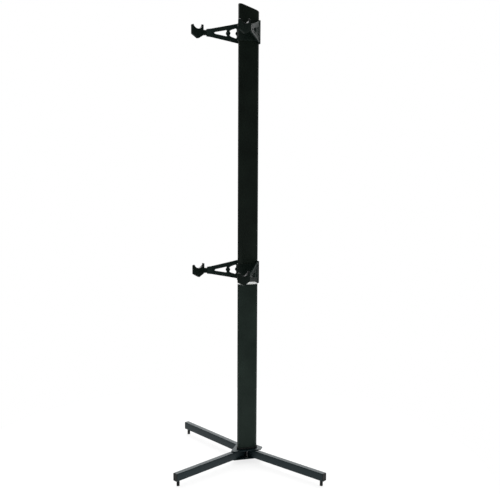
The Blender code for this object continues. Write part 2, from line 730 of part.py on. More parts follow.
def make_arm(name, side, sign, bracket):
    arm = place(f"arm_{name}_{side}", PARTS["arm_mesh"], "cast_coat", bracket,
                (PIN_X, sign * PIN_Y, 0), sign * ARM_ANGLE)
    place(f"set_screw_{name}_{side}", PARTS["set_screw_mesh"], "black_steel", arm,
          (SET_SCREW_U, 0, -SPIGOT_RADIUS - GAP))
    cradle_mesh, liner_mesh = PARTS["cradle_meshes"][sign]
    cradle = place(f"cradle_{name}_{side}", cradle_mesh, "cast_coat", arm, (ARM_END + GAP, 0, 0))
    place(f"cradle_liner_{name}_{side}", liner_mesh, "rubber", cradle)


def make_stand():
    for obj in list(bpy.data.objects):
        bpy.data.objects.remove(obj)
    collection = bpy.data.collections.new("bike_storage_stand")
    bpy.context.scene.collection.children.link(collection)
    PARTS["collection"] = collection
    PARTS["stand"] = new_object("stand", None, collection)
    PARTS["stand"].location = (COLUMN_X, 0, 0)
    MATERIALS.update(make_materials())

    make_column()
    make_hub_plates()
    make_base_bolts()
    for side, (angle, reach) in LEGS.items():
        make_leg(side, angle, reach)

    PARTS["bracket_mesh"] = make_bracket_mesh()
    PARTS["pin_mesh"] = make_pin_mesh()
    PARTS["clip_mesh"] = make_clip_mesh()
    PARTS["knob_mesh"] = make_knob_mesh()
    PARTS["arm_mesh"] = make_arm_mesh()
    PARTS["set_screw_mesh"] = make_set_screw_mesh()
    PARTS["cradle_meshes"] = {1: make_cradle_meshes(1), -1: make_cradle_meshes(-1)}
    for name, z in (("upper", UPPER_BRACKET_Z), ("lower", LOWER_BRACKET_Z)):
        bracket = make_bracket(name, z)
        for side, sign in (("right", 1), ("left", -1)):
            make_arm(name, side, sign, bracket)


make_stand()
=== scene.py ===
"""A free-standing bike storage column in satin black: three legs, a rounded triangular tube in
two lengths, and two brackets whose hinged arms hold a bicycle each by its top tube.

Metres, +Z up, the floor at z = 0, +X along the front leg.
"""
import math

import bmesh
import bpy
import numpy as np
from mathutils import Matrix, Vector


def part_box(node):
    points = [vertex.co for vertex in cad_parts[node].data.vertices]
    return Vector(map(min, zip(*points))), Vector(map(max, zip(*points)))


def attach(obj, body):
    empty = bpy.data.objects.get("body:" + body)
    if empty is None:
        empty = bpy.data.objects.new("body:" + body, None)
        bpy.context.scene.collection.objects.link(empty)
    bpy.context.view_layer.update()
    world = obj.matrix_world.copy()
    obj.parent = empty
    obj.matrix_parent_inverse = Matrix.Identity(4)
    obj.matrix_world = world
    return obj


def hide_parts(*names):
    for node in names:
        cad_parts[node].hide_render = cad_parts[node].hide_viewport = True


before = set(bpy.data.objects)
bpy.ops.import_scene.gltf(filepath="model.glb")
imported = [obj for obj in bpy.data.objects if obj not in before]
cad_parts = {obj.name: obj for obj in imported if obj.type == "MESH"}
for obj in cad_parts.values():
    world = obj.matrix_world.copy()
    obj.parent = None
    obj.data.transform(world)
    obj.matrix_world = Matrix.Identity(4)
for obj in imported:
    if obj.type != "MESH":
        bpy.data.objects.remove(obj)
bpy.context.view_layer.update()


# Column tube, lower and upper lengths.
# An extruded aluminium tube with three flat faces and three equal round corners, deburred and
# powder-coated satin black. The upper length is sawn off on a slant that falls to the rear.

CORNER_OFFSET = 0.0336
CORNER_RADIUS = 0.0194
TUBE_WALL = 0.0025
OUTER_DEBURR = 0.0005
INNER_DEBURR = 0.0002
AXIS_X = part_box("column_upper")[1].x - CORNER_OFFSET - CORNER_RADIUS
SLANT = math.tan(math.radians(23.5))

# The film of powder drifts in thickness over a hand's width, and is cloudy in small spots
FILM_DRIFT_MM = 110.0
FILM_SPOT_MM = 4.0
SPOT_SHARE = 0.35
DARKEST_AT, LIGHTEST_AT = 0.45, 0.95
SHEEN_SPREAD = 0.05


def linear(code):
    """An sRGB hex colour as linear red, green, blue and alpha."""
    values = [int(code[i:i + 2], 16) / 255 for i in (1, 3, 5)]
    return [v / 12.92 if v <= 0.04045 else ((v + 0.055) / 1.055) ** 2.4 for v in values] + [1.0]


def add(tree, kind, values=None, links=None, **settings):
    """One shader node: its settings, the values on its sockets, and what is linked to them."""
    made = tree.nodes.new(kind)
    for key, value in settings.items():
        setattr(made, key, value)
    for key, value in (values or {}).items():
        made.inputs[key].default_value = value
    for key, socket in (links or {}).items():
        tree.links.new(socket, made.inputs[key])
    return made


def powder_coat(name, dark, light, sheen_tint, roughness, gloss, peel_mm, depth_mm):
    """Baked polyester powder over metal: it flows out before it sets, which leaves the fine
    orange peel that breaks up its reflections, and a slightly uneven sheen."""
    mat = bpy.data.materials.new(name)
    mat.use_nodes = True
    tree = mat.node_tree
    shader = tree.nodes["Principled BSDF"]
    place = add(tree, "ShaderNodeTexCoord").outputs["Object"]
    drift = add(tree, "ShaderNodeTexNoise", {"Scale": 1000.0 / FILM_DRIFT_MM, "Detail": 3.0},
                {"Vector": place})
    spots = add(tree, "ShaderNodeTexNoise", {"Scale": 1000.0 / FILM_SPOT_MM, "Detail": 2.0},
                {"Vector": place})
    tone = add(tree, "ShaderNodeMath", {1: SPOT_SHARE},
               {0: spots.outputs["Fac"], 2: drift.outputs["Fac"]}, operation='MULTIPLY_ADD')
    ramp = add(tree, "ShaderNodeValToRGB", links={"Fac": tone.outputs["Value"]})
    darkest, lightest = ramp.color_ramp.elements
    darkest.position, darkest.color = DARKEST_AT, linear(dark)
    lightest.position, lightest.color = LIGHTEST_AT, linear(light)
    tree.links.new(ramp.outputs["Color"], shader.inputs["Base Color"])
    sheen = add(tree, "ShaderNodeMapRange",
                {"From Min": 0.3, "From Max": 0.7, "To Min": roughness - SHEEN_SPREAD,
                 "To Max": roughness + SHEEN_SPREAD}, {"Value": spots.outputs["Fac"]})
    tree.links.new(sheen.outputs["Result"], shader.inputs["Roughness"])
    peel = add(tree, "ShaderNodeTexNoise",
               {"Scale": 1000.0 / peel_mm, "Detail": 1.5, "Roughness": 0.45},
               {"Vector": place})
    bump = add(tree, "ShaderNodeBump", {"Strength": 1.0, "Distance": depth_mm / 1000.0},
               {"Height": peel.outputs["Fac"]})
    tree.links.new(bump.outputs["Normal"], shader.inputs["Normal"])
    shader.inputs["IOR"].default_value = 1.5
    shader.inputs["Specular IOR Level"].default_value = gloss
    shader.inputs["Specular Tint"].default_value = linear(sheen_tint)
    return mat


# Smooth satin coat on the straight extrusion: the least orange peel of the coated pieces
UPPER_COAT = powder_coat("satin_powder_coat_on_extrusion", "#070e09", "#0f1912", "#f2fff8",
                         roughness=0.40, gloss=0.30, peel_mm=1.6, depth_mm=0.012)
# The lower length takes a lighter, duller copy of the upper length's coat: painted light, standing
# for the lower tube catching more light than the upper
LOWER_COAT_PAINTED_LIGHTER = powder_coat("matt_powder_coat_on_extrusion", "#17211d", "#222d28", "#f0fff6",
                         roughness=0.50, gloss=0.18, peel_mm=1.3, depth_mm=0.014)


def filleted(points, radii, steps=6):
    """A closed outline with its corners turned into arcs: each arc is tangent to both sides, its
    centre on the corner's bisector at radius / sin(half the corner's angle)."""
    points = np.asarray(points, float)
    radii = np.broadcast_to(np.asarray(radii, float), len(points))
    before = np.roll(points, 1, 0) - points
    after = np.roll(points, -1, 0) - points
    before /= np.linalg.norm(before, axis=1)[:, None]
    after /= np.linalg.norm(after, axis=1)[:, None]
    half = np.arccos(np.clip((before * after).sum(1), -1, 1)) / 2
    middle = before + after
    middle /= np.maximum(np.linalg.norm(middle, axis=1)[:, None], 1e-9)
    centre = points + middle * (radii / np.sin(half))[:, None]
    first = points + before * (radii / np.tan(half))[:, None] - centre
    last = points + after * (radii / np.tan(half))[:, None] - centre
    start = np.arctan2(first[:, 1], first[:, 0])
    sweep = (np.arctan2(last[:, 1], last[:, 0]) - start + np.pi) % (2 * np.pi) - np.pi
    angle = start[:, None] + sweep[:, None] * np.linspace(0, 1, steps + 1)
    arcs = centre[:, None] + radii[:, None, None] * np.stack([np.cos(angle), np.sin(angle)], -1)
    return arcs.reshape(-1, 2)


def surface(name, grid, round_rows=False, end_faces=False, smooth=32.0):
    """A mesh over a grid of points: a quad joins neighbours along both directions, and each row
    is closed on itself. If asked, the last row meets the first, or the end rows get a face.
    Edges that turn by more than smooth degrees stay sharp."""
    grid = np.asarray(grid, float)
    rows, columns = grid.shape[:2]
    row = np.arange(rows if round_rows else rows - 1)[:, None]
    column = np.arange(columns)[None, :]
    here = row * columns
    there = (row + 1) % rows * columns
    next_column = (column + 1) % columns
    quads = np.stack(np.broadcast_arrays(here + column, here + next_column,
                                         there + next_column, there + column), -1)
    faces = quads.reshape(-1, 4).tolist()
    if end_faces:
        faces.append(list(range(columns))[::-1])
        faces.append(list(range((rows - 1) * columns, rows * columns)))
    mesh = bpy.data.meshes.new(name)
    mesh.from_pydata(grid.reshape(-1, 3).tolist(), [], faces)
    made = bmesh.new()
    made.from_mesh(mesh)
    bmesh.ops.remove_doubles(made, verts=made.verts, dist=1e-7)
    bmesh.ops.recalc_face_normals(made, faces=made.faces)
    made.to_mesh(mesh)
    made.free()
    mesh.shade_smooth()
    mesh.set_sharp_from_angle(angle=math.radians(smooth))
    obj = bpy.data.objects.new(name, mesh)
    bpy.context.scene.collection.objects.link(obj)
    return obj


def dress(obj, material, slot, body, *nodes):
    """Gives a finished piece its material, lets it ride on its body, and lets it stand for the CAD
    nodes named. The slot is not used."""
    obj.data.materials.clear()
    obj.data.materials.append(material)
    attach(obj, body)
    if nodes:
        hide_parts(*nodes)
    return obj


def triangle_ring(section, steps=20):
    """A section carried round the column: each of its points (radius, z, lift) runs round three
    corner circles of that radius, 120 degrees on each, and its z rises by lift times the slant."""
    section = np.asarray(section, float)
    corner = np.radians(np.repeat([0.0, 120.0, 240.0], steps + 1))
    angle = corner + np.radians(np.tile(np.linspace(-60, 60, steps + 1), 3))
    x = CORNER_OFFSET * np.cos(corner) + section[:, :1] * np.cos(angle)
    y = CORNER_OFFSET * np.sin(corner) + section[:, :1] * np.sin(angle)
    z = section[:, 1:2] + section[:, 2:3] * SLANT * x
    return np.stack([x + AXIS_X, y, z], -1)


def tube_length(low, high, lift):
    """The closed section through the tube's wall with its edges deburred, as (radius, z, lift):
    the points above its mid-height take the lift, and the rest none."""
    inner = CORNER_RADIUS - TUBE_WALL
    wall = filleted([(CORNER_RADIUS, low), (CORNER_RADIUS, high), (inner, high), (inner, low)],
                    [OUTER_DEBURR, OUTER_DEBURR, INNER_DEBURR, INNER_DEBURR], steps=3)
    return np.column_stack([wall, np.where(wall[:, 1] > (low + high) / 2, lift, 0.0)])


low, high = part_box("column_lower")
tube = surface("column_lower_tube", triangle_ring(tube_length(low.z, high.z, 0)),
               round_rows=True)
dress(tube, LOWER_COAT_PAINTED_LIGHTER, "column_coat", "stand", "column_lower")

low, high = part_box("column_upper")
saw_cut = high.z - SLANT * (CORNER_OFFSET + CORNER_RADIUS)
tube = surface("column_upper_tube", triangle_ring(tube_length(low.z, saw_cut, 1)),
               round_rows=True)
dress(tube, UPPER_COAT, "column_coat", "stand", "column_upper")


# Column joint.
# An injection-moulded nylon insert that slides into both lengths; only its pale collar shows,
# flush with the tube, as a band under the lower bracket.

JOINT_WALL = 0.0030
SEAM = 0.0003
LEAD_IN = 0.0008
COLLAR_EDGE = 0.0004
CORNER_EASE = 0.0002
BORE_EASE = 0.0003

low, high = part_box("column_joint")
collar_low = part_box("column_lower")[1].z + SEAM
collar_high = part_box("column_upper")[0].z - SEAM
sleeve = CORNER_RADIUS - TUBE_WALL - SEAM
section = filleted(
    [(sleeve, low.z), (sleeve, collar_low), (CORNER_RADIUS, collar_low),
     (CORNER_RADIUS, collar_high), (sleeve, collar_high), (sleeve, high.z),
     (sleeve - JOINT_WALL, high.z), (sleeve - JOINT_WALL, low.z)],
    [LEAD_IN, CORNER_EASE, COLLAR_EDGE, COLLAR_EDGE, CORNER_EASE, LEAD_IN, BORE_EASE,
     BORE_EASE], steps=3)

# Unpigmented nylon 6, moulded in a polished mould, is milky: light goes a little way in, which
# softens its edges, and it shows faint marks of how it flowed
FLOW_MARK_MM = 14.0
NYLON_GRAIN_MM = 0.4

nylon = bpy.data.materials.new("natural_nylon_moulding")
nylon.use_nodes = True
tree = nylon.node_tree
shader = tree.nodes["Principled BSDF"]
place = add(tree, "ShaderNodeTexCoord").outputs["Object"]
flow = add(tree, "ShaderNodeTexNoise", {"Scale": 1000.0 / FLOW_MARK_MM, "Detail": 2.0},
           {"Vector": place})
ramp = add(tree, "ShaderNodeValToRGB", links={"Fac": flow.outputs["Fac"]})
ramp.color_ramp.elements[0].color = linear("#eceeec")
ramp.color_ramp.elements[1].color = linear("#f6f8f7")
tree.links.new(ramp.outputs["Color"], shader.inputs["Base Color"])
grain = add(tree, "ShaderNodeTexNoise", {"Scale": 1000.0 / NYLON_GRAIN_MM, "Detail": 1.0},
            {"Vector": place})
bump = add(tree, "ShaderNodeBump", {"Strength": 0.4, "Distance": 0.00001},
           {"Height": grain.outputs["Fac"]})
tree.links.new(bump.outputs["Normal"], shader.inputs["Normal"])
shader.inputs["Roughness"].default_value = 0.42
shader.inputs["IOR"].default_value = 1.53
shader.inputs["Subsurface Weight"].default_value = 0.15
shader.inputs["Subsurface Radius"].default_value = (0.004, 0.004, 0.0035)

insert = surface("column_joint_insert",
                 triangle_ring(np.column_stack([section, np.zeros(len(section))])),
                 round_rows=True)
dress(insert, nylon, "nylon", "stand", "column_joint")


# Column cap and foot boot.
# Two moulded polypropylene trims in mould-textured black: the cap plugs the slanted top, and the
# boot hides the gap where the tube stands on the hub plate.

CAP_THICKNESS = 0.0037
CAP_EDGE = 0.0015
CAP_SKIRT_EASE = 0.0002
CAP_CROWN_RADIUS = 0.006
PLUG_DEPTH = 0.012
BOOT_WALL = 0.0024
BOOT_FOOT_EASE = 0.0002
BOOT_TOP_ROUND = 0.0016
BOOT_LIP_EASE = 0.0004


def moulded_plastic(name, dark, light, roughness, gloss, grain_mm):
    """A black plastic or rubber from a spark-eroded mould: a fine even grain that scatters the
    light, with hardly any colour of its own. The real grain, a tenth of a millimetre, is drawn
    coarser, so that it shows."""
    mat = bpy.data.materials.new(name)
    mat.use_nodes = True
    tree = mat.node_tree
    shader = tree.nodes["Principled BSDF"]
    place = add(tree, "ShaderNodeTexCoord").outputs["Object"]
    grain = add(tree, "ShaderNodeTexVoronoi", {"Scale": 1000.0 / grain_mm}, {"Vector": place},
                feature='SMOOTH_F1')
    ramp = add(tree, "ShaderNodeValToRGB", links={"Fac": grain.outputs["Distance"]})
    ramp.color_ramp.elements[0].color = linear(light)
    ramp.color_ramp.elements[1].color = linear(dark)
    tree.links.new(ramp.outputs["Color"], shader.inputs["Base Color"])
    bump = add(tree, "ShaderNodeBump", {"Strength": 0.7, "Distance": 0.00004},
               {"Height": grain.outputs["Distance"]}, invert=True)
    tree.links.new(bump.outputs["Normal"], shader.inputs["Normal"])
    shader.inputs["Roughness"].default_value = roughness
    shader.inputs["Specular IOR Level"].default_value = gloss
    shader.inputs["IOR"].default_value = 1.49
    return mat


# Polypropylene has little shine of its own, and the mould's texture takes most of that
BLACK_PLASTIC = moulded_plastic("spark_textured_polypropylene", "#090c0c", "#111515",
                                roughness=0.52, gloss=0.28, grain_mm=0.5)

seat = saw_cut + SEAM
plug_radius = CORNER_RADIUS - TUBE_WALL - SEAM
quarter = np.linspace(0, np.pi / 2, 7)
section = [(plug_radius, seat - PLUG_DEPTH), (plug_radius, seat),
           (CORNER_RADIUS - CAP_SKIRT_EASE, seat), (CORNER_RADIUS, seat + CAP_SKIRT_EASE)]
section += list(zip(CORNER_RADIUS - CAP_EDGE + CAP_EDGE * np.cos(quarter),
                    seat + CAP_THICKNESS - CAP_EDGE + CAP_EDGE * np.sin(quarter)))
section += [(CAP_CROWN_RADIUS, seat + CAP_THICKNESS)]
section = np.column_stack([np.array(section), np.ones(len(section))])
cap = surface("column_cap_moulding", triangle_ring(section), end_faces=True)
dress(cap, BLACK_PLASTIC, "black_plastic", "stand", "column_cap")

low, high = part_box("column_boot")
inner = CORNER_RADIUS + SEAM
section = filleted([(inner, low.z), (inner + BOOT_WALL, low.z), (inner + BOOT_WALL, high.z),
                    (inner, high.z)],
                   [BOOT_FOOT_EASE, BOOT_FOOT_EASE, BOOT_TOP_ROUND, BOOT_LIP_EASE], steps=5)
boot = surface("column_boot_moulding",
               triangle_ring(np.column_stack([section, np.zeros(len(section))])),
               round_rows=True)
dress(boot, BLACK_PLASTIC, "black_plastic", "stand", "column_boot")


# Legs with their end caps.
# Three lengths of rectangular steel tube, powder-coated, their open ends closed by moulded caps
# that are pushed in. The tube's corners keep the round they are rolled with.

LEG_WIDTH = 0.0260
LEG_HEIGHT = 0.0368
LEG_CORNER = 0.0030
LEG_INNER_CORNER = 0.0008
LEG_WALL = 0.0020
LEG_START = 0.0200
LEG_END_EASE = 0.0003
CAP_FLANGE = 0.0030
CAP_PLUG = 0.0085
CAP_ROUND = 0.0010
CAP_PANEL_INSET = 0.0060
CAP_PANEL_DEPTH = 0.0008
CAP_PANEL_DRAFT = 0.0006
LEG_TURN = {"front": 0.0, "right": 93.67, "left": -93.67}
LEG_REACH = {"front": 0.4563, "right": 0.4790, "left": 0.4790}

# Steel base: a touch rougher than the column's upper length, which blurs the light along its
# upper faces
BASE_COAT = powder_coat("satin_powder_coat_on_steel", "#081316", "#0e1b1f", "#d4ecf2",
                        roughness=0.42, gloss=0.35, peel_mm=1.2, depth_mm=0.016)


def box_outline(inset, steps=6):
    """The tube's outline (width, height) moved in by an inset, its corners kept round."""
    half = np.array([LEG_WIDTH, LEG_HEIGHT]) / 2 - inset
    corners = half * np.array([(1, 1), (-1, 1), (-1, -1), (1, -1)])
    return filleted(corners, max(LEG_CORNER - inset, LEG_INNER_CORNER), steps)


def along_leg(side, profile, middle_z):
    """A profile of (distance from the column's axis, inset) carried round the tube's outline:
    row i is the outline moved in by inset i, at distance i along the leg."""
    turn = math.radians(LEG_TURN[side])
    along = np.array([math.cos(turn), math.sin(turn), 0.0])
    across = np.array([-math.sin(turn), math.cos(turn), 0.0])
    rows = []
    for distance, inset in profile:
        outline = box_outline(inset)
        rows.append(np.array([AXIS_X, 0, middle_z]) + distance * along
                    + outline[:, :1] * across + outline[:, 1:] * np.array([0, 0, 1.0]))
    return np.stack(rows)


for side, reach in LEG_REACH.items():
    low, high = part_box("leg_" + side)
    middle = (low.z + high.z) / 2
    end = reach - CAP_FLANGE - SEAM
    tube = surface(f"leg_{side}_tube", along_leg(side, [
        (LEG_START, LEG_WALL), (LEG_START, LEG_END_EASE), (LEG_START + LEG_END_EASE, 0.0),
        (end - LEG_END_EASE, 0.0), (end, LEG_END_EASE), (end, LEG_WALL)], middle),
        round_rows=True)
    dress(tube, BASE_COAT, "black_coat", "stand", "leg_" + side)

    face = reach - CAP_ROUND
    edge = [(face + CAP_ROUND * math.sin(a), CAP_ROUND - CAP_ROUND * math.cos(a))
            for a in np.linspace(0, np.pi / 2, 5)]
    start = reach - CAP_FLANGE
    cap = surface(f"leg_{side}_end_cap", along_leg(side, [
        (start - CAP_PLUG, LEG_WALL + SEAM), (start, LEG_WALL + SEAM), (start, CAP_SKIRT_EASE),
        (start + CAP_SKIRT_EASE, 0.0), *edge, (reach, CAP_PANEL_INSET),
        (reach - CAP_PANEL_DEPTH, CAP_PANEL_INSET + CAP_PANEL_DRAFT)], middle), end_faces=True)
    dress(cap, BLACK_PLASTIC, "black_plastic", "stand", "leg_cap_" + side)


# Hub plates.
# Two laser-cut steel plates clamp the legs between them; both are coated with the legs, and
# their edges are eased so that the coat doesn't thin there.

PLATE_EASE = 0.0004
SHARP_CORNER = 35.0


def eased_copy(node, name, width, segments=2):
    """A CAD solid's surface with its triangles merged into faces, and the edges that turn by more
    than SHARP_CORNER degrees rounded to a width in metres."""
    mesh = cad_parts[node].data.copy()
    made = bmesh.new()
    made.from_mesh(mesh)
    bmesh.ops.remove_doubles(made, verts=made.verts, dist=1e-6)
    bmesh.ops.dissolve_limit(made, angle_limit=math.radians(0.5), verts=made.verts,
                             edges=made.edges)
    made.to_mesh(mesh)
    made.free()
    mesh.shade_smooth()
    obj = bpy.data.objects.new(name, mesh)
    bpy.context.scene.collection.objects.link(obj)
    bevel = obj.modifiers.new("eased edges", 'BEVEL')
    bevel.width = width
    bevel.segments = segments
    bevel.limit_method = 'ANGLE'
    bevel.angle_limit = math.radians(SHARP_CORNER)
    bevel.use_clamp_overlap = True
    bevel.harden_normals = True
    return obj


for level in ("top", "bottom"):
    plate = eased_copy("hub_plate_" + level, f"hub_{level}_plate", PLATE_EASE)
    dress(plate, BASE_COAT, "black_coat", "stand", "hub_plate_" + level)


# Levelling feet.
# A rolled and zinc-plated M8 stud screws into each leg from below, and a pad of moulded rubber is
# pressed on its lower end.

THREAD_CREST = 0.00388
THREAD_ROOT = 0.00340
THREAD_PITCH = 0.00125
PAD_RADIUS = 0.0072
PAD_BORE = 0.0043
PAD_BORE_FLOOR = 0.0068
PAD_HOLLOW = 0.0006
PLATING_CLOUD_MM = 2.4
CLEAREST, CLOUDIEST = -0.07, 0.09


def treated_steel(name, colour, roughness):
    """Rolled steel with its treated skin, bright zinc plate or black oxide: a grey metal whose
    sheen is slightly cloudy."""
    mat = bpy.data.materials.new(name)
    mat.use_nodes = True
    tree = mat.node_tree
    shader = tree.nodes["Principled BSDF"]
    place = add(tree, "ShaderNodeTexCoord").outputs["Object"]
    cloud = add(tree, "ShaderNodeTexNoise", {"Scale": 1000.0 / PLATING_CLOUD_MM, "Detail": 3.0},
                {"Vector": place})
    haze = add(tree, "ShaderNodeMapRange",
               {"From Min": 0.3, "From Max": 0.7, "To Min": roughness + CLEAREST,
                "To Max": roughness + CLOUDIEST}, {"Value": cloud.outputs["Fac"]})
    tree.links.new(haze.outputs["Result"], shader.inputs["Roughness"])
    shader.inputs["Base Color"].default_value = linear(colour)
    shader.inputs["Metallic"].default_value = 1.0
    return mat


# Bright zinc plate: pale, with soft cloudy reflections
ZINC = treated_steel("zinc_plated_steel", "#b9bab6", 0.32)

# The feet's rubber comes from a blasted mould, the dullest surface on the stand
RUBBER = moulded_plastic("moulded_black_rubber", "#0c1010", "#151919",
                         roughness=0.75, gloss=0.4, grain_mm=0.8)


def turned(profile, place, steps=40):
    """A profile of (radius, height) turned round Z and moved to its place: column j is the
    profile at angle 2 pi j / steps."""
    profile = np.asarray(profile, float)
    angle = np.linspace(0, 2 * np.pi, steps, endpoint=False)
    grid = np.stack([profile[:, :1] * np.cos(angle), profile[:, :1] * np.sin(angle),
                     np.repeat(profile[:, 1:], steps, 1)], -1)
    matrix = np.array(place)
    return grid @ matrix[:3, :3].T + matrix[:3, 3]


def thread(low, high, place, steps=32):
    """A screw thread round Z: its radius goes from root to crest and back as a triangle wave of
    the height over the pitch less the angle over a turn. Over the last pitch at each end, the
    wave fades out to halfway between root and crest."""
    rows = int((high - low) / THREAD_PITCH * 10) + 1
    height = np.linspace(low, high, rows)[:, None]
    angle = np.linspace(0, 2 * np.pi, steps, endpoint=False)[None, :]
    phase = (height / THREAD_PITCH - angle / (2 * np.pi)) % 1.0
    wave = 1 - np.abs(2 * phase - 1)
    fade = np.clip(np.minimum(height - low, high - height) / THREAD_PITCH, 0, 1)
    drop = (1 - wave) * fade + 0.5 * (1 - fade)
    radius = THREAD_CREST - (THREAD_CREST - THREAD_ROOT) * drop
    grid = np.stack([radius * np.cos(angle), radius * np.sin(angle), height + 0 * angle], -1)
    matrix = np.array(place)
    return grid @ matrix[:3, :3].T + matrix[:3, 3]


for side in LEG_REACH:
    low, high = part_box("foot_stud_" + side)
    centre = (low + high) / 2
    stand_at = Matrix.Translation((centre.x, centre.y, 0))
    stud = surface(f"foot_{side}_stud", thread(low.z, high.z, stand_at), end_faces=True,
                   smooth=60)
    dress(stud, ZINC, "zinc_steel", "foot_" + side, "foot_stud_" + side)
    # The pad's sleeve reaches up to the leg, so that the thread stays clean
    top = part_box("leg_" + side)[0].z - 2 * SEAM
    bore = [(PAD_BORE, PAD_BORE_FLOOR), (PAD_BORE, top - 0.0004)]
    rim = [(PAD_BORE + 0.0004, top), (PAD_RADIUS - 0.0009, top),
           (PAD_RADIUS - 0.0004, top - 0.0003), (PAD_RADIUS - 0.0002, top - 0.0009)]
    skirt = [(PAD_RADIUS - 0.0001, 0.0080), (PAD_RADIUS, 0.0047), (PAD_RADIUS, 0.0014)]
    sole = [(PAD_RADIUS - 0.0003, 0.0005), (PAD_RADIUS - 0.0010, 0.0),
            (PAD_BORE + 0.0003, 0.0), (PAD_BORE - 0.0001, PAD_HOLLOW)]
    pad = surface(f"foot_{side}_pad", turned([*bore, *rim, *skirt, *sole], stand_at),
                  end_faces=True)
    dress(pad, RUBBER, "rubber", "foot_" + side, "foot_pad_" + side)


# Hub bolts.
# Button-head socket bolts in black oxide, put in from below: one up into the column's foot
# block, and one up through each leg.

# Shank radius, head radius, head height, and half the socket's width across its flats
M10_BUTTON_HEAD = (0.0050, 0.0090, 0.0052, 0.0031)
M6_BUTTON_HEAD = (0.0030, 0.0052, 0.0033, 0.0020)
TIP_CHAMFER = 0.0006
HEAD_EASE = 0.0002
BOLT_STEPS = 48
# Shares of the head's height that are its straight side and its socket, and how much wider than
# the socket the dome ends
HEAD_SIDE = 0.35
SOCKET_DEPTH = 0.62
DOME_END = 1.25
# Where a turned piece reaches its axis, it closes with a flat disc of this radius
POLE = 0.0001

# Black oxide: a thin dark skin, through which the steel still glints
BLACK_OXIDE = treated_steel("black_oxide_steel", "#3a3a3b", 0.38)


def hex_socket_bolt(name, node, radius, head_radius, head_height, socket):
    """A domed head turned round Z under a plain shank, as high as the node. The dome falls as a
    quarter sine towards the socket, whose radius at an angle is half its width over the cosine of
    the angle to the nearest flat's middle."""
    low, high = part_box(node)
    x, y = (low.x + high.x) / 2, (low.y + high.y) / 2
    seat = low.z + head_height
    dome = [(head_radius - (head_radius - socket * DOME_END) * t,
             seat - head_height * (HEAD_SIDE + (1 - HEAD_SIDE) * math.sin(t * math.pi / 2)))
            for t in np.linspace(0, 1, 8)]
    profile = [(POLE, high.z), (radius - TIP_CHAMFER, high.z), (radius, high.z - TIP_CHAMFER),
               (radius, seat), (head_radius - HEAD_EASE, seat), (head_radius, seat - HEAD_EASE),
               *dome]
    grid = turned(profile, Matrix.Translation((x, y, 0)), BOLT_STEPS)
    angle = np.linspace(0, 2 * np.pi, BOLT_STEPS, endpoint=False)
    reach = socket / np.cos((angle + np.pi / 6) % (np.pi / 3) - np.pi / 6)
    rim = np.stack([x + reach * np.cos(angle), y + reach * np.sin(angle),
                    np.full(BOLT_STEPS, low.z)], -1)
    socket_floor = rim + np.array([0, 0, head_height * SOCKET_DEPTH])
    grid = np.concatenate([grid, rim[None], socket_floor[None]])
    return surface(name, grid, end_faces=True, smooth=38)


for node, bolt_sizes in (("centre_bolt", M10_BUTTON_HEAD), ("leg_bolt_front", M6_BUTTON_HEAD),
                         ("leg_bolt_right", M6_BUTTON_HEAD), ("leg_bolt_left", M6_BUTTON_HEAD)):
    bolt = hex_socket_bolt(node + "_screw", node, *bolt_sizes)
    dress(bolt, BLACK_OXIDE, "black_steel", "stand", node)


# Brackets.
# Die-cast collars that slide on the column, with a hinge barrel on each side and a tapped boss
# behind for the clamp. Cast skin under powder coat is a little coarser than the extrusion's.

BRACKET_EASE = 0.0007

CAST_COAT = powder_coat("satin_powder_coat_on_casting", "#08100d", "#0e1814", "#e6fff4",
                        roughness=0.40, gloss=0.28, peel_mm=0.9, depth_mm=0.022)

for level in ("upper", "lower"):
    casting = eased_copy("bracket_" + level, f"bracket_{level}_casting", BRACKET_EASE)
    dress(casting, CAST_COAT, "cast_coat", "bracket_" + level, "bracket_" + level)


# Height clamps.
# A moulded five-lobe knob on a zinc-plated M8 screw. The screw runs through the bracket's rear
# boss and presses on the column's rear face.

KNOB_EASE = 0.0010

for level in ("upper", "lower"):
    knob = eased_copy("clamp_knob_" + level, f"clamp_{level}_knob", KNOB_EASE, segments=3)
    dress(knob, BLACK_PLASTIC, "black_plastic", "knob_" + level, "clamp_knob_" + level)
    low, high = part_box("clamp_screw_" + level)
    centre = (low + high) / 2
    lying = (Matrix.Translation((low.x, centre.y, centre.z))
             @ Matrix.Rotation(math.pi / 2, 4, 'Y'))
    screw = surface(f"clamp_{level}_screw", thread(0.0, high.x - low.x, lying),
                    end_faces=True, smooth=60)
    dress(screw, ZINC, "zinc_steel", "knob_" + level, "clamp_screw_" + level)


# Hinge pins and their clips.
# Turned zinc-plated pins with a low domed head, dropped in from above. A spring clip of black
# steel snaps into the groove at each pin's lower end.

PIN_RADIUS = 0.0030
PIN_TIP_RADIUS = 0.0026
PIN_TIP_LENGTH = 0.0005
GROOVE_RADIUS = 0.0024
GROOVE_PLAY = 0.0002
PIN_HEAD_RADIUS = 0.0052
PIN_HEAD_HEIGHT = 0.0022
PIN_HEAD_EDGE = 0.0004
CLIP_EASE = 0.0001
# The dome stops this angle, in radians, short of the axis, where a flat disc closes it
CROWN_GAP = 0.02

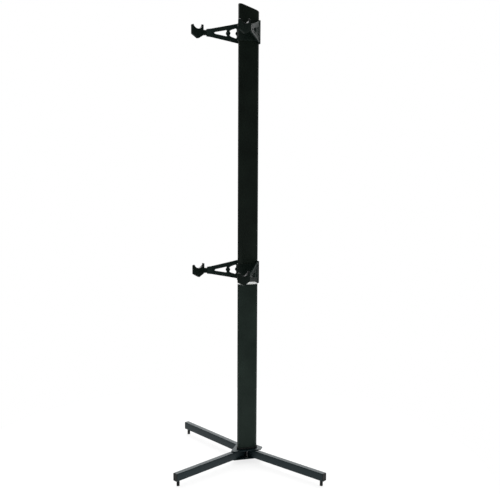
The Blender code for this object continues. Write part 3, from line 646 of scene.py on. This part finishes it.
for level in ("upper", "lower"):
    for side in ("right", "left"):
        low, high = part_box(f"hinge_pin_{level}_{side}")
        x, y = (low.x + high.x) / 2, (low.y + high.y) / 2
        under_head = high.z - PIN_HEAD_HEIGHT
        clip_low, clip_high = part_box(f"pin_clip_{level}_{side}")
        groove_low, groove_high = clip_low.z - GROOVE_PLAY, clip_high.z + GROOVE_PLAY
        crown = PIN_HEAD_HEIGHT - PIN_HEAD_EDGE
        dome = [(PIN_HEAD_RADIUS * math.cos(a), under_head + PIN_HEAD_EDGE + crown * math.sin(a))
                for a in np.linspace(0, np.pi / 2 - CROWN_GAP, 9)]
        profile = [(POLE, low.z), (PIN_TIP_RADIUS, low.z), (PIN_RADIUS, low.z + PIN_TIP_LENGTH),
                   (PIN_RADIUS, groove_low), (GROOVE_RADIUS, groove_low),
                   (GROOVE_RADIUS, groove_high), (PIN_RADIUS, groove_high),
                   (PIN_RADIUS, under_head), (PIN_HEAD_RADIUS - HEAD_EASE, under_head),
                   (PIN_HEAD_RADIUS, under_head + HEAD_EASE), *dome]
        pin = surface(f"pin_{level}_{side}", turned(profile, Matrix.Translation((x, y, 0))),
                      end_faces=True)
        dress(pin, ZINC, "zinc_steel", "bracket_" + level, f"hinge_pin_{level}_{side}")
        clip = eased_copy(f"pin_clip_{level}_{side}", f"clip_{level}_{side}", CLIP_EASE)
        dress(clip, BLACK_OXIDE, "black_steel", "bracket_" + level, f"pin_clip_{level}_{side}")


# Arms.
# Die-cast trusses: two grooved chords that meet in a round socket, with two bossed webs between
# them. The bosses are machined with a shallow dish on both faces.

ARM_EASE = 0.0004

# The arms' coat is a shade greyer and flatter than the other castings'
ARM_COAT = powder_coat("flat_powder_coat_on_casting", "#131c1a", "#1e2926", "#dcf8ec",
                       roughness=0.44, gloss=0.17, peel_mm=0.9, depth_mm=0.026)

for level in ("upper", "lower"):
    for side in ("right", "left"):
        body = f"arm_{level}_{side}"
        arm = eased_copy(body, f"{body}_casting", ARM_EASE)
        dress(arm, ARM_COAT, "cast_coat", body, body)


# Cradles with their liners.
# Each cradle is a cast hook on a square neck whose spigot turns in the arm's socket. A soft
# rubber liner is pegged into the notch and takes the bicycle's top tube.

HOOK_EASE = 0.0011
LINER_EASE = 0.0004

# The liner comes from a smooth mould and is a little shinier than the feet
LINER_RUBBER = moulded_plastic("smooth_black_elastomer", "#0c0f0f", "#141818",
                               roughness=0.32, gloss=0.5, grain_mm=1.2)

for level in ("upper", "lower"):
    for side in ("right", "left"):
        body = f"cradle_{level}_{side}"
        hook = eased_copy(body, f"{body}_casting", HOOK_EASE, segments=3)
        dress(hook, CAST_COAT, "cast_coat", body, body)
        liner = eased_copy(f"cradle_liner_{level}_{side}", f"{body}_liner", LINER_EASE)
        dress(liner, LINER_RUBBER, "rubber", body, f"cradle_liner_{level}_{side}")


# Set screws and the foot block.
# The small parts that keep their CAD shape: a steel set screw under each arm's socket, and the
# aluminium block inside the column's foot.

KEPT_AS_THEY_ARE = {"column_foot_block": CAST_COAT,
                    "set_screw_upper_right": BLACK_OXIDE, "set_screw_upper_left": BLACK_OXIDE,
                    "set_screw_lower_right": BLACK_OXIDE, "set_screw_lower_left": BLACK_OXIDE}

for node, finish in KEPT_AS_THEY_ARE.items():
    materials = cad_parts[node].data.materials
    materials.clear()
    materials.append(finish)


# Floor, light and camera.
# A round sheet of white paper in a studio whose far wall is white, and whose near side, ceiling
# and floor are dark. Three soft lamps light the stand: from above, from behind and from the left.

SHEET_RADIUS = 1.3
SHEET_EDGES = 128
# How far the paper is lifted towards white where the camera, gloss or glass sees it
SHEET_LIFT = 0.77
FILL_STRENGTH = 1.00
CAMERA_SIDE = (0.60, 0.60, 0.35)
WHITE_BELOW = -0.70
DARK_ABOVE = -0.05
DARK_TONE = 0.015
FLOOR_TONE = 0.18
FLOOR_BELOW = -0.10
WALL_ABOVE = 0.04

turn = np.linspace(0, 2 * np.pi, SHEET_EDGES, endpoint=False)
rim = np.column_stack([SHEET_RADIUS * np.cos(turn), SHEET_RADIUS * np.sin(turn),
                       np.zeros(SHEET_EDGES)])
floor_mesh = bpy.data.meshes.new("studio_floor")
floor_mesh.from_pydata(rim.tolist(), [], [list(range(SHEET_EDGES))])
floor = bpy.data.objects.new("studio_floor", floor_mesh)
bpy.context.scene.collection.objects.link(floor)


def seen_directly(tree):
    """1 for a ray from the camera, or one that a gloss or a clear surface sends on."""
    path = add(tree, "ShaderNodeLightPath")
    gloss = add(tree, "ShaderNodeMath", links={0: path.outputs["Is Camera Ray"],
                                               1: path.outputs["Is Glossy Ray"]},
                operation='MAXIMUM')
    return add(tree, "ShaderNodeMath", links={0: gloss.outputs["Value"],
                                              1: path.outputs["Is Transmission Ray"]},
               operation='MAXIMUM').outputs["Value"]


# Matt paper, which shows nothing but the stand's faint shadow
paper = bpy.data.materials.new("white_paper_sweep")
paper.use_nodes = True
tree = paper.node_tree
shader = tree.nodes["Principled BSDF"]
shader.inputs["Base Color"].default_value = linear("#858585")
shader.inputs["Roughness"].default_value = 0.9
shader.inputs["Specular IOR Level"].default_value = 0.0
shader.inputs["Emission Color"].default_value = (1, 1, 1, 1)
lift = add(tree, "ShaderNodeMath", {1: SHEET_LIFT}, {0: seen_directly(tree)},
           operation='MULTIPLY')
tree.links.new(lift.outputs["Value"], shader.inputs["Emission Strength"])
floor_mesh.materials.append(paper)

world = bpy.data.worlds.new("studio")
world.use_nodes = True
bpy.context.scene.world = world
tree = world.node_tree
fill = tree.nodes["Background"]
fill.inputs["Color"].default_value = (1, 1, 1, 1)
fill.inputs["Strength"].default_value = FILL_STRENGTH
# What the gloss reflects: the tone falls towards the camera's side and overhead, and is grey
# below the horizon. The camera itself sees white.
heading = add(tree, "ShaderNodeTexCoord").outputs["Generated"]
towards = add(tree, "ShaderNodeVectorMath", {1: CAMERA_SIDE}, {0: heading},
              operation='DOT_PRODUCT')
fall = add(tree, "ShaderNodeMapRange",
           {"From Min": WHITE_BELOW, "From Max": DARK_ABOVE, "To Min": 1.0,
            "To Max": DARK_TONE},
           {"Value": towards.outputs["Value"]}, interpolation_type='SMOOTHSTEP')
height = add(tree, "ShaderNodeSeparateXYZ", links={"Vector": heading})
room = add(tree, "ShaderNodeMapRange",
           {"From Min": FLOOR_BELOW, "From Max": WALL_ABOVE, "To Min": FLOOR_TONE},
           {"Value": height.outputs["Z"], "To Max": fall.outputs["Result"]},
           interpolation_type='SMOOTHSTEP')
path = add(tree, "ShaderNodeLightPath")
tone = add(tree, "ShaderNodeMath",
           links={0: room.outputs["Result"], 1: path.outputs["Is Camera Ray"]},
           operation='MAXIMUM')
studio = add(tree, "ShaderNodeBackground", {"Color": (1, 1, 1, 1)},
             {"Strength": tone.outputs["Value"]})
mix = add(tree, "ShaderNodeMixShader", links={0: seen_directly(tree),
                                             1: fill.outputs["Background"],
                                             2: studio.outputs["Background"]})
tree.links.new(mix.outputs["Shader"], tree.nodes["World Output"].inputs["Surface"])


def soft_light(name, strength, spread, towards):
    """A far lamp, as wide in the sky as its spread in degrees, that shines along a direction."""
    lamp = bpy.data.lights.new(name, 'SUN')
    lamp.energy = strength
    lamp.angle = math.radians(spread)
    obj = bpy.data.objects.new(name, lamp)
    bpy.context.scene.collection.objects.link(obj)
    obj.rotation_euler = Vector(towards).to_track_quat('-Z', 'Y').to_euler()
    return obj


soft_light("overhead_softbox", strength=0.65, spread=38, towards=(0.25, 0.10, -1.0))
soft_light("back_softbox", strength=1.20, spread=50, towards=(0.70, 0.70, -0.78))
soft_light("left_strip", strength=0.25, spread=16, towards=(-0.30, 1.0, -0.50))

# Set so that the stand's corners fall where the photograph has them
camera = bpy.data.objects.new("camera", bpy.data.cameras.new("camera"))
bpy.context.scene.collection.objects.link(camera)
camera.location = (2.6459, 2.8339, 1.6502)
camera.rotation_euler = (math.radians(81.435), math.radians(-0.272), math.radians(134.746))
camera.data.sensor_width = 36.0
camera.data.lens = 61.424
bpy.context.scene.camera = camera
bpy.context.scene.view_settings.view_transform = 'Standard'
